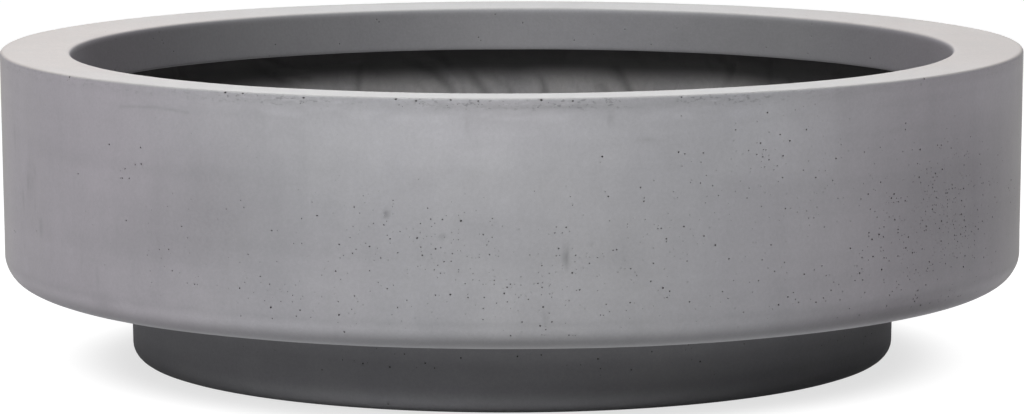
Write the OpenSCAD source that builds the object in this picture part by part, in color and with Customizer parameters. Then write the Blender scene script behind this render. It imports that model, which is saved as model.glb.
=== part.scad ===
// Low bowl planter in cast fibre-cement: a wide drum with a flat return rim, on a recessed round plinth.
// Drum and plinth are two thin castings. The plinth hangs by its flange in the drum's open floor,
// bedded in mortar, and both are backed inside with a hand-laid layer. Four drain sleeves with rubber
// plugs pass through the bottom, and rubber pads stand under it.
// Millimetres, +Z up, origin on the ground at the middle of the bowl.

/* [Drum] */
// Outer diameter of the drum at the top of the rim
bowl_d = 1000; // [940:10:1200]
// Height of the drum, from its underside to the top of the rim
drum_h = 228; // [180:1:320]
// Draft of the drum's outer wall, in degrees, narrowing downwards
drum_draft = 0.6; // [0:0.1:2]
// Radius of the drum's lower outer edge
drum_edge_r = 30; // [16:1:40]
// Thickness of the cast skin of the drum and the plinth
skin_t = 9; // [7:0.5:12]

/* [Rim] */
// Width of the rim, from its outer edge to the mouth
rim_w = 69.5; // [50:0.5:90]
// How much lower the mouth's edge lies than the rim's outer edge
rim_fall = 2.5; // [0:0.1:5]
// Thickness of the rim under its top face
rim_t = 15; // [11:0.5:20]
// Depth of the return lip inside the mouth
lip_h = 45; // [32:1:70]
// Thickness of the return lip
lip_t = 13; // [10:0.5:18]
// Radius of the rim's outer edge
rim_edge_r = 3.5; // [1:0.5:6]
// Radius of the mouth's edge
mouth_edge_r = 5; // [1:0.5:8]
// Radius of the two edges at the foot of the return lip
lip_edge_r = 3; // [0.5:0.5:4.5]
// Radius of the two hollow corners under the rim
rim_cove_r = 8; // [3:0.5:12]

/* [Plinth] */
// Outer diameter of the plinth where it meets the drum
plinth_d = 750; // [640:2:780]
// Height of the plinth between its own underside and the drum's
plinth_h = 76; // [55:1:120]
// Draft of the plinth's wall, in degrees, narrowing downwards
plinth_draft = 1; // [0:0.1:3]
// Radius of the plinth's lower outer edge
plinth_edge_r = 15; // [13:0.5:28]
// Width of the plinth's flange, which lies on the drum's floor
flange_w = 30; // [20:1:38]
// Thickness of the mortar bed under the flange
bed_t = 2; // [1:0.5:4]
// Gap round the plinth where it passes through the drum's floor
joint_gap = 1.5; // [0.5:0.1:3]

/* [Backing] */
// Thickness of the hand-laid backing inside the castings
backing_t = 6; // [4:0.5:9]
// Gap between the backing's top edge and the hollow corner under the rim
backing_stop = 2; // [0.5:0.5:10]
// Radius of the backing's cove at the foot of the drum's wall
drum_cove_r = 34; // [24:1:40]
// Radius of the backing's cove at the foot of the plinth's wall
plinth_cove_r = 22; // [15:1:35]
// Height of the floor's middle above the drain ring
floor_crown = 4; // [1:0.5:8]
// Height of the floor's outside above the drain ring
floor_rise = 2; // [0.5:0.5:5]

/* [Drains] */
// Number of drains
drain_count = 4; // [2:1:6]
// Distance of the drains' centres in from the plinth's outer diameter
drain_inset = 165; // [110:1:180]
// Inner diameter of a drain sleeve
drain_bore_d = 32; // [25:1:40]
// Wall of a drain sleeve
sleeve_t = 2.5; // [1.5:0.5:4]
// Sealant gap round a drain sleeve
sleeve_gap = 0.3; // [0.1:0.1:0.8]
// How far a sleeve's collar reaches past its wall
collar_w = 8; // [6:0.5:12]
// Thickness of a sleeve's collar, which is let into the backing
collar_t = 2.5; // [1.5:0.5:3.5]
// Radius of a sleeve's edges
sleeve_edge_r = 0.8; // [0.3:0.1:1]
// Width of the level strip of floor on each side of the collars
strip_margin = 6; // [2:1:15]

/* [Drain plugs] */
// Running gap between a plug and its sleeve
plug_gap = 0.05; // [0.02:0.01:0.1]
// Taper of a plug's shank, taken off its radius from top to foot
plug_taper = 1.4; // [0.5:0.1:2.5]
// Wall of a plug's hollow shank
plug_wall_t = 4; // [3:0.5:6]
// How far a plug's foot stays above the plinth's underside
plug_recess = 1; // [0.5:0.5:4]
// How far a plug's head reaches past the bore
plug_head_w = 6; // [4:0.5:8]
// Thickness of a plug's head
plug_head_t = 4; // [3:0.5:6]
// Diameter of the neck between a plug's head and its knob
plug_neck_d = 9; // [6:0.5:10]
// Height of that neck
plug_neck_h = 5; // [4:0.5:8]
// Diameter of a plug's knob
plug_knob_d = 15; // [12:1:18]
// Height of a plug's knob
plug_knob_h = 8; // [6:0.5:10]
// Radius of a plug's edges and corners
plug_edge_r = 1; // [0.4:0.1:1.2]

/* [Foot pads] */
// Number of foot pads
pad_count = 8; // [3:1:12]
// Diameter of a foot pad
pad_d = 40; // [25:1:50]
// Height of a foot pad
pad_h = 3; // [2:0.5:8]
// Distance of the pads' centres in from the plinth's outer diameter
pad_inset = 54; // [48:1:75]
// Radius of a foot pad's lower edge
pad_edge_r = 1; // [0.5:0.1:1.5]

/* [Hidden] */
$fn = 96;

// The straight pieces of a rounded edge lie within this distance of the true arc
arc_sag = 0.05;

// Heights, from the ground up
pan_z = pad_h;
drum_z = pan_z + plinth_h;
rim_z = drum_z + drum_h;
drum_floor_z = drum_z + skin_t;
flange_z = drum_floor_z + bed_t;
flange_top_z = flange_z + skin_t;
pan_floor_z = pan_z + skin_t;
ring_z = pan_floor_z + backing_t;
mouth_z = rim_z - rim_fall;
lip_z = mouth_z - lip_h;

// Radii
mouth_r = bowl_d / 2 - rim_w;
flange_r = plinth_d / 2 + flange_w;
ring_r = plinth_d / 2 - drain_inset;
pad_ring_r = plinth_d / 2 - pad_inset;
bore_r = drain_bore_d / 2;
sleeve_r = bore_r + sleeve_t;
collar_r = sleeve_r + collar_w;
drum_inner_r = max(drum_edge_r - skin_t, 2);
plinth_inner_r = max(plinth_edge_r - skin_t, 2);

// Rounding of the backing where it steps over the flange, and of its free edges
step_r = 0.4 * (bed_t + skin_t);
backing_edge_r = 0.6 * backing_t;
// Rounding of a plug's knob, under it and on top
knob_under_r = 0.3 * plug_knob_h;
knob_top_r = 0.5 * plug_knob_h;

// How far a cut runs past the faces that it opens
overshoot = 1;
// Least level width of the drum's floor between the step over the flange and the cove
floor_ledge = 1;

cement = [0.72, 0.71, 0.72];
cement_inside = [0.60, 0.59, 0.58];
mortar = [0.50, 0.49, 0.47];
sleeve_grey = [0.42, 0.43, 0.44];
rubber = [0.10, 0.10, 0.11];

// Radius of a wall's outer face at height z, where it has radius r0 at height z0
function drafted(r0, z0, draft, z) = r0 - (z0 - z) * tan(draft);
function drum_r(z) = drafted(bowl_d / 2, rim_z, drum_draft, z);
function drum_in_r(z) = drum_r(z) - skin_t / cos(drum_draft);
function plinth_r(z) = drafted(plinth_d / 2, drum_z, plinth_draft, z);
function plinth_in_r(z) = plinth_r(z) - skin_t / cos(plinth_draft);

// Height of the rim's underside at radius r
function rim_under_z(r) = rim_z - rim_fall * (bowl_d / 2 - r) / rim_w - rim_t;

function unit(v) = v / norm(v);

// The arc of radius r that rounds corner q between its neighbours p and s
function corner_arc(p, q, s, r) =
    let (
        a = unit(p - q),
        b = unit(s - q),
        half = acos(a * b) / 2,
        centre = q + unit(a + b) * r / sin(half),
        from = q + a * r / tan(half) - centre,
        to = q + b * r / tan(half) - centre,
        start = atan2(from.y, from.x),
        turn = (atan2(to.y, to.x) - start + 540) % 360 - 180,
        steps = ceil(abs(turn) / (2 * acos(1 - arc_sag / r)))
    )
    [for (i = [0:steps]) centre + r * [cos(start + turn * i / steps), sin(start + turn * i / steps)]];

// A closed outline from corners given as [radius from the axis, height, rounding]
function outline(corners) =
    let (n = len(corners), at = [for (c = corners) [c.x, c.y]])
    [for (i = [0:n - 1])
        each corners[i][2] > 0
            ? corner_arc(at[(i + n - 1) % n], at[i], at[(i + 1) % n], corners[i][2])
            : [at[i]]];

module turned(corners) {
    rotate_extrude() polygon(outline(corners));
}

module at_ring(radius, count, i) {
    rotate(360 / count * (i - 0.5)) translate([radius, 0, 0]) children();
}

// Cast skin of the drum: outer wall, rim, return lip with the hollow behind it, and the floor's outer ring
module drum_shell() {
    open_r = plinth_r(drum_floor_z) + joint_gap;
    lip_back_r = mouth_r + lip_t;
    wall_top_r = drum_in_r(rim_z - rim_t);
    color(cement) turned([
        [open_r, drum_z, 0],
        [drum_r(drum_z), drum_z, drum_edge_r],
        [bowl_d / 2, rim_z, rim_edge_r],
        [mouth_r, mouth_z, mouth_edge_r],
        [mouth_r, lip_z, lip_edge_r],
        [lip_back_r, lip_z, lip_edge_r],
        [lip_back_r, rim_under_z(lip_back_r), rim_cove_r],
        [wall_top_r, rim_under_z(wall_top_r), rim_cove_r],
        [drum_in_r(drum_floor_z), drum_floor_z, drum_inner_r],
        [open_r, drum_floor_z, 0]
    ]);
}

// Cast plinth: a shallow pan, let down through the drum's floor until its flange lies on the mortar
module plinth_pan() {
    color(cement) difference() {
        turned([
            [0, pan_z, 0],
            [plinth_r(pan_z), pan_z, plinth_edge_r],
            [plinth_r(flange_z), flange_z, 0],
            [flange_r, flange_z, 0],
            [flange_r, flange_top_z, 0],
            [plinth_in_r(flange_top_z), flange_top_z, 0],
            [plinth_in_r(pan_floor_z), pan_floor_z, plinth_inner_r],
            [0, pan_floor_z, 0]
        ]);
        for (i = [1:drain_count]) at_ring(ring_r, drain_count, i) sleeve_hole();
    }
}

// Ring of mortar between the plinth's flange and the drum's floor
module mortar_bed() {
    bed_r = plinth_r(drum_floor_z) + joint_gap;
    color(mortar) rotate_extrude() translate([bed_r, drum_floor_z]) square([flange_r - bed_r, bed_t]);
}

// Hand-laid backing of the drum's wall and floor, which laps over the plinth's flange
module drum_backing() {
    top_z = rim_under_z(drum_in_r(rim_z - rim_t)) - rim_cove_r - backing_stop;
    floor_z = drum_floor_z + backing_t;
    lap_z = flange_top_z + backing_t;
    lap_r = flange_r + backing_t;
    face_t = backing_t / cos(drum_draft);
    cove_room = drum_in_r(floor_z) - face_t - lap_r - step_r - floor_ledge;
    color(cement_inside) turned([
        [plinth_in_r(flange_top_z), flange_top_z, 0],
        [flange_r, flange_top_z, 0],
        [flange_r, drum_floor_z, 0],
        [drum_in_r(drum_floor_z), drum_floor_z, drum_inner_r],
        [drum_in_r(top_z), top_z, 0],
        [drum_in_r(top_z) - face_t, top_z, backing_edge_r],
        [drum_in_r(floor_z) - face_t, floor_z, min(drum_cove_r, cove_room)],
        [lap_r, floor_z, step_r],
        [lap_r, lap_z, step_r],
        [plinth_in_r(lap_z), lap_z, 0]
    ]);
}

// Hand-laid backing of the plinth, falling from the middle and from the wall to the ring of drains
module floor_backing() {
    lap_z = flange_top_z + backing_t;
    rise_z = ring_z + floor_rise;
    face_t = backing_t / cos(plinth_draft);
    strip = collar_r + strip_margin;
    color(cement_inside) difference() {
        turned([
            [0, pan_floor_z, 0],
            [plinth_in_r(pan_floor_z), pan_floor_z, plinth_inner_r],
            [plinth_in_r(lap_z), lap_z, 0],
            [plinth_in_r(lap_z) - face_t, lap_z, backing_edge_r],
            [plinth_in_r(rise_z) - face_t, rise_z, plinth_cove_r],
            [ring_r + strip, ring_z, 0],
            [ring_r - strip, ring_z, 0],
            [0, ring_z + floor_crown, 0]
        ]);
        for (i = [1:drain_count]) at_ring(ring_r, drain_count, i) sleeve_hole();
    }
}

// Hole for a drain sleeve, with the recess for its collar
module sleeve_hole() {
    hole_h = ring_z - pan_z + 2 * overshoot;
    translate([0, 0, pan_z - overshoot]) cylinder(h = hole_h, r = sleeve_r + sleeve_gap);
    translate([0, 0, ring_z - collar_t]) cylinder(h = collar_t + floor_crown, r = collar_r + sleeve_gap);
}

// Collared sleeve that lines a drain, flush with the floor inside and with the plinth's underside
module drain_sleeve(i) {
    color(sleeve_grey) at_ring(ring_r, drain_count, i) turned([
        [bore_r, pan_z, sleeve_edge_r],
        [sleeve_r, pan_z, 0],
        [sleeve_r, ring_z - collar_t, 0],
        [collar_r, ring_z - collar_t, 0],
        [collar_r, ring_z, sleeve_edge_r],
        [bore_r, ring_z, sleeve_edge_r]
    ]);
}

// Tapered rubber plug with a hollow shank and a knob to pull it by
module drain_plug(i) {
    top_r = bore_r - plug_gap;
    foot_r = top_r - plug_taper;
    foot_z = pan_z + plug_recess;
    hollow_r = foot_r - plug_wall_t;
    head_r = bore_r + plug_head_w;
    head_z = ring_z + plug_head_t;
    neck_r = plug_neck_d / 2;
    knob_r = plug_knob_d / 2;
    knob_z = head_z + plug_neck_h;
    top_z = knob_z + plug_knob_h;
    color(rubber) at_ring(ring_r, drain_count, i) turned([
        [hollow_r, foot_z, 0],
        [foot_r, foot_z, plug_edge_r],
        [top_r, ring_z, 0],
        [head_r, ring_z, 0],
        [head_r, head_z, plug_edge_r],
        [neck_r, head_z, plug_edge_r],
        [neck_r, knob_z, 0],
        [knob_r, knob_z, knob_under_r],
        [knob_r, top_z, knob_top_r],
        [0, top_z, 0],
        [0, ring_z, 0],
        [hollow_r, ring_z, plug_edge_r]
    ]);
}

// Rubber pad bonded under the plinth
module foot_pad(i) {
    color(rubber) at_ring(pad_ring_r, pad_count, i) turned([
        [0, 0, 0],
        [pad_d / 2, 0, pad_edge_r],
        [pad_d / 2, pad_h, 0],
        [0, pad_h, 0]
    ]);
}

drum_shell();
plinth_pan();
mortar_bed();
drum_backing();
floor_backing();
for (i = [1:drain_count]) {
    drain_sleeve(i);
    drain_plug(i);
}
for (i = [1:pad_count]) {
    foot_pad(i);
}
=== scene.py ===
"""Looks of a low cast-cement bowl planter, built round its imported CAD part. Lengths are in millimetres
until a mesh is made, and an azimuth is in degrees from the front, positive towards the right."""

import math
import random

import bmesh
import bpy
import numpy as np
from mathutils import Euler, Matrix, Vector


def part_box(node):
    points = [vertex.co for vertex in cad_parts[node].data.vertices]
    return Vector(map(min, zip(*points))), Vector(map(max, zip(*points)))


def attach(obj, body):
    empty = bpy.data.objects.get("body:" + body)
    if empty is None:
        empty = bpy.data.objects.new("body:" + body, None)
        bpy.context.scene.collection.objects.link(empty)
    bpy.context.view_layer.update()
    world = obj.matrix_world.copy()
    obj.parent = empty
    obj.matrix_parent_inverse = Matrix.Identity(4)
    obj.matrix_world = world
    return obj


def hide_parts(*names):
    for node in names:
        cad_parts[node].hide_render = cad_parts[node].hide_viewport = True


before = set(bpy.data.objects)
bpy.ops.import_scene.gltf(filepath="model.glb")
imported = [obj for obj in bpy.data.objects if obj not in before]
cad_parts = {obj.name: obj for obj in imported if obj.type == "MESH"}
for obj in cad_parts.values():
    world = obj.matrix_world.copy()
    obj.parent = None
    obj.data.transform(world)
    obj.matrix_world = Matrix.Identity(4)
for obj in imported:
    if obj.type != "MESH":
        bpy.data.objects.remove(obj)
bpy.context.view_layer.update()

MM = 0.001

# Sizes that the frame gives
drum_low, drum_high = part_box("drum_shell")
plinth_low, plinth_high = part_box("plinth_pan")
lining_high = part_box("drum_backing")[1]
floor_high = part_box("floor_backing")[1]
sleeve_low, sleeve_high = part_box("drain_sleeve_1")
BOWL_R = round(drum_high.x / MM)
RIM_Z = round(drum_high.z / MM)
DRUM_Z = round(drum_low.z / MM)
PAN_Z = round(plinth_low.z / MM)
FLANGE_R = round(plinth_high.x / MM)
FLANGE_TOP_Z = round(plinth_high.z / MM)
LINING_TOP_Z = round(lining_high.z / MM, 1)
LINING_LAP_Z = round(floor_high.z / MM)
COLLAR_R = round((sleeve_high.x - sleeve_low.x) / 2 / MM, 1)
DRAIN_X = (sleeve_high.x + sleeve_low.x) / 2 / MM
DRAIN_Y = (sleeve_high.y + sleeve_low.y) / 2 / MM
DRAIN_RING_R = math.hypot(DRAIN_X, DRAIN_Y)
DRAIN_COUNT = sum(name.startswith("drain_sleeve_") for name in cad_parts)

# Sizes that the castings share with the part's source
SKIN_T = 9.0
DRUM_DRAFT = math.tan(math.radians(0.6))
DRUM_EDGE_R = 30.0
RIM_W = 69.5
RIM_FALL = 2.5
RIM_T = 15.0
LIP_H = 45.0
LIP_T = 13.0
RIM_EDGE_R = 3.5
MOUTH_EDGE_R = 5.0
LIP_EDGE_R = 3.0
RIM_COVE_R = 8.0
PLINTH_TOP_R = 375.0
PLINTH_DRAFT = math.tan(math.radians(1.0))
PLINTH_EDGE_R = 15.0
BED_T = 2.0
JOINT_GAP = 1.5
BACKING_T = 6.0
BACKING_EDGE_R = 0.6 * BACKING_T
DRUM_COVE_R = 34.0
PLINTH_COVE_R = 22.0
FLOOR_CROWN = 4.0
FLOOR_RISE = 2.0
LEVEL_STRIP = 6.0
HOLE_R = 18.8
COLLAR_GAP = 0.3
COLLAR_T = 2.5

# How far the dressed skin lies inside the CAD's
SKIN_INSET = 0.06
# Row spacing where marks crowd, where a face shows, where it hardly shows, and where it is covered
DENSE = 1.3
FINE = 3.2
MEDIUM = 6.0
COARSE = 26.0
# Fewest steps of an arc, and its longest step as a share of its radius
ARC_STEPS = 3
ARC_STEP = 0.45
DRUM_COLUMNS = 1024
PLINTH_COLUMNS = 768
LINING_COLUMNS = 1536
FLOOR_COLUMNS = 512
HOLE_SIDES = 48

MOUTH_R = BOWL_R - RIM_W
MOUTH_Z = RIM_Z - RIM_FALL
LIP_Z = MOUTH_Z - LIP_H
DRUM_FLOOR_Z = DRUM_Z + SKIN_T
FOOT_Z = DRUM_Z + DRUM_EDGE_R
WORN_Z = RIM_Z - 26
FLANGE_Z = DRUM_FLOOR_Z + BED_T
PAN_FLOOR_Z = PAN_Z + SKIN_T
FLOOR_RING_Z = PAN_FLOOR_Z + BACKING_T


def drum_r(z):
    return BOWL_R - (RIM_Z - z) * DRUM_DRAFT


def drum_in_r(z):
    return drum_r(z) - SKIN_T


def plinth_r(z):
    return PLINTH_TOP_R - (DRUM_Z - z) * PLINTH_DRAFT


def plinth_in_r(z):
    return plinth_r(z) - SKIN_T


def rim_under_z(r):
    return RIM_Z - RIM_FALL * (BOWL_R - r) / RIM_W - RIM_T


# Profiles: corners as (radius, height, rounding, row spacing of the run after the corner)
def drum_profile():
    open_r = plinth_r(DRUM_FLOOR_Z) + JOINT_GAP
    back_r = MOUTH_R + LIP_T
    wall_top_r = drum_in_r(RIM_Z - RIM_T)
    return [(open_r, DRUM_Z, 0, MEDIUM),
            (drum_r(DRUM_Z), DRUM_Z, DRUM_EDGE_R, FINE),
            (drum_r(WORN_Z), WORN_Z, 0, DENSE),
            (BOWL_R, RIM_Z, RIM_EDGE_R, FINE),
            (MOUTH_R, MOUTH_Z, MOUTH_EDGE_R, FINE),
            (MOUTH_R, LIP_Z, LIP_EDGE_R, MEDIUM),
            (back_r, LIP_Z, LIP_EDGE_R, MEDIUM),
            (back_r, rim_under_z(back_r), RIM_COVE_R, MEDIUM),
            (wall_top_r, rim_under_z(wall_top_r), RIM_COVE_R, COARSE),
            (drum_in_r(DRUM_FLOOR_Z), DRUM_FLOOR_Z, DRUM_EDGE_R - SKIN_T, COARSE),
            (open_r, DRUM_FLOOR_Z, 0, MEDIUM)]


def plinth_profile():
    return [(0, PAN_Z, 0, MEDIUM),
            (plinth_r(PAN_Z), PAN_Z, PLINTH_EDGE_R, FINE),
            (plinth_r(DRUM_Z), DRUM_Z, 0, MEDIUM),
            (plinth_r(FLANGE_Z), FLANGE_Z, 0, COARSE),
            (FLANGE_R, FLANGE_Z, 0, COARSE),
            (FLANGE_R, FLANGE_TOP_Z, 0, COARSE),
            (plinth_in_r(FLANGE_TOP_Z), FLANGE_TOP_Z, 0, COARSE),
            (plinth_in_r(PAN_FLOOR_Z), PAN_FLOOR_Z, PLINTH_EDGE_R - SKIN_T, MEDIUM),
            (0, PAN_FLOOR_Z, 0, MEDIUM)]


def lining_profile():
    floor_z = DRUM_FLOOR_Z + BACKING_T
    lap_r = FLANGE_R + BACKING_T
    step_r = 0.4 * (BED_T + SKIN_T)
    return [(plinth_in_r(FLANGE_TOP_Z), FLANGE_TOP_Z, 0, COARSE),
            (FLANGE_R, FLANGE_TOP_Z, 0, COARSE),
            (FLANGE_R, DRUM_FLOOR_Z, 0, COARSE),
            (drum_in_r(DRUM_FLOOR_Z), DRUM_FLOOR_Z, DRUM_EDGE_R - SKIN_T, COARSE),
            (drum_in_r(LINING_TOP_Z), LINING_TOP_Z, 0, FINE),
            (drum_in_r(LINING_TOP_Z) - BACKING_T, LINING_TOP_Z, BACKING_EDGE_R, FINE),
            (drum_in_r(floor_z) - BACKING_T, floor_z, DRUM_COVE_R, FINE),
            (lap_r, floor_z, step_r, FINE),
            (lap_r, LINING_LAP_Z, step_r, FINE),
            (plinth_in_r(LINING_LAP_Z), LINING_LAP_Z, 0, COARSE)]


def floor_profile():
    rise_z = FLOOR_RING_Z + FLOOR_RISE
    strip = COLLAR_R + LEVEL_STRIP
    return [(0, PAN_FLOOR_Z, 0, MEDIUM),
            (plinth_in_r(PAN_FLOOR_Z), PAN_FLOOR_Z, PLINTH_EDGE_R - SKIN_T, COARSE),
            (plinth_in_r(LINING_LAP_Z), LINING_LAP_Z, 0, FINE),
            (plinth_in_r(LINING_LAP_Z) - BACKING_T, LINING_LAP_Z, BACKING_EDGE_R, FINE),
            (plinth_in_r(rise_z) - BACKING_T, rise_z, PLINTH_COVE_R, FINE),
            (DRAIN_RING_R + strip, FLOOR_RING_Z, 0, FINE),
            (DRAIN_RING_R - strip, FLOOR_RING_Z, 0, FINE),
            (0, FLOOR_RING_Z + FLOOR_CROWN, 0, FINE)]


def rounded_corner(before, corner, after, radius):
    """Points of the arc that rounds a corner of a profile."""
    a = (before - corner) / np.linalg.norm(before - corner)
    b = (after - corner) / np.linalg.norm(after - corner)
    half = math.acos(np.clip(a @ b, -1, 1)) / 2
    centre = corner + (a + b) / np.linalg.norm(a + b) * radius / math.sin(half)
    start = corner + a * radius / math.tan(half) - centre
    end = corner + b * radius / math.tan(half) - centre
    first = math.atan2(start[1], start[0])
    turn = wrapped(math.atan2(end[1], end[0]) - first)
    steps = max(ARC_STEPS, round(abs(turn) * radius / min(FINE, ARC_STEP * radius)))
    angles = first + turn * np.arange(steps + 1) / steps
    return centre + radius * np.stack([np.cos(angles), np.sin(angles)], axis=1)


def profile_rows(corners, closed):
    """Rows of a turned mesh: radius and height along the rounded profile, at the spacing of each run."""
    at = np.array([c[:2] for c in corners], float)
    count = len(corners)
    parts = []
    for i, (_, _, rounding, spacing) in enumerate(corners):
        if rounding > 0:
            parts.append((rounded_corner(at[i - 1], at[i], at[(i + 1) % count], rounding), spacing))
        else:
            parts.append((at[i:i + 1], spacing))
    rows = []
    for i, (points, spacing) in enumerate(parts):
        rows.extend(points)
        if i == count - 1 and not closed:
            break
        following = parts[(i + 1) % count][0][0]
        gap = following - points[-1]
        steps = max(1, round(np.linalg.norm(gap) / spacing))
        rows.extend(points[-1] + gap * k / steps for k in range(1, steps))
    return np.array(rows)


def wrapped(angle):
    """The same angle in radians, from -pi to pi."""
    return (angle + math.pi) % (2 * math.pi) - math.pi


def apart(azimuth, centre):
    """Degrees from a centre to each azimuth, from -180 to 180."""
    return (azimuth - centre + 180) % 360 - 180


def unwound(angles):
    """The same angles counted on from the first without a jump, and the first again at the end."""
    total = 0.0
    result = [0.0]
    for k in range(len(angles)):
        total += wrapped(angles[(k + 1) % len(angles)] - angles[k])
        result.append(total)
    return result


def unit_rows(v):
    length = np.linalg.norm(v, axis=1, keepdims=True)
    return v / np.where(length > 0, length, 1)


def eased(t):
    """0 to 1 with a soft start and end."""
    return t * t * (3 - 2 * t)


def ramp(value, start, end):
    """0 at start and 1 at end, smooth between."""
    return eased(np.clip((value - start) / (end - start), 0, 1))


def window(value, rise, fall):
    """1 inside a range and 0 outside it. Rise and fall each give where it is 0 and where it is 1."""
    return ramp(value, *rise) * ramp(value, *fall)


def hump(value, middle, half):
    """1 in the middle, fading smoothly on both sides."""
    return np.exp(-((value - middle) / half) ** 2)


# Numbers that scramble a cell's place and a seed into one word, as hash functions do
CELL_PRIMES = (73856093, 19349663, 83492791)
SEED_PRIME = 2654435761
SCRAMBLE = ((15, 2246822519), (13, 3266489917))
LAST_SHIFT = 16
WORD = 0xffffffff
# Keeps the cells' numbers positive
CELL_SHIFT = 512.0


def cell_value(cell, seed):
    """A fixed random number from 0 to 1 for each whole-number cell of space."""
    n = np.zeros(cell.shape[:-1], np.uint64)
    for i, prime in enumerate(CELL_PRIMES):
        n = n ^ cell[..., i].astype(np.uint64) * np.uint64(prime)
    n = (n + np.uint64(seed) * np.uint64(SEED_PRIME)) & np.uint64(WORD)
    for shift, prime in SCRAMBLE:
        n = ((n ^ (n >> np.uint64(shift))) * np.uint64(prime)) & np.uint64(WORD)
    return (n ^ (n >> np.uint64(LAST_SHIFT))).astype(float) / WORD


def smooth_noise(points, size, seed):
    """Smooth noise from -1 to 1 whose features are about `size` across. `size` may differ by axis."""
    place = points / np.array(size, float) + CELL_SHIFT
    cell = np.floor(place)
    t = eased(place - cell)
    total = 0.0
    for corner in np.ndindex(2, 2, 2):
        share = np.prod([t[..., i] if corner[i] else 1 - t[..., i] for i in range(3)], axis=0)
        total = total + share * cell_value(cell + np.array(corner), seed)
    return 2 * total - 1


def layered_noise(points, size, seed, layers, strength):
    """Noise in layers, each half as large and half as strong as the one before."""
    total = 0.0
    for k in range(layers):
        total = total + smooth_noise(points, np.array(size, float) / 2 ** k, seed + k) / 2 ** k
    return strength * (total / (2 - 2 ** (1 - layers)))


# What each point carries for the materials, with its plain value: how light it is, painted light and shade
# included, how worn it is, and how rosy (up to 1) or dun (up to 2)
MARKS = {"tone": 1.0, "wear": 0.0, "tint": 0.0}


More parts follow.
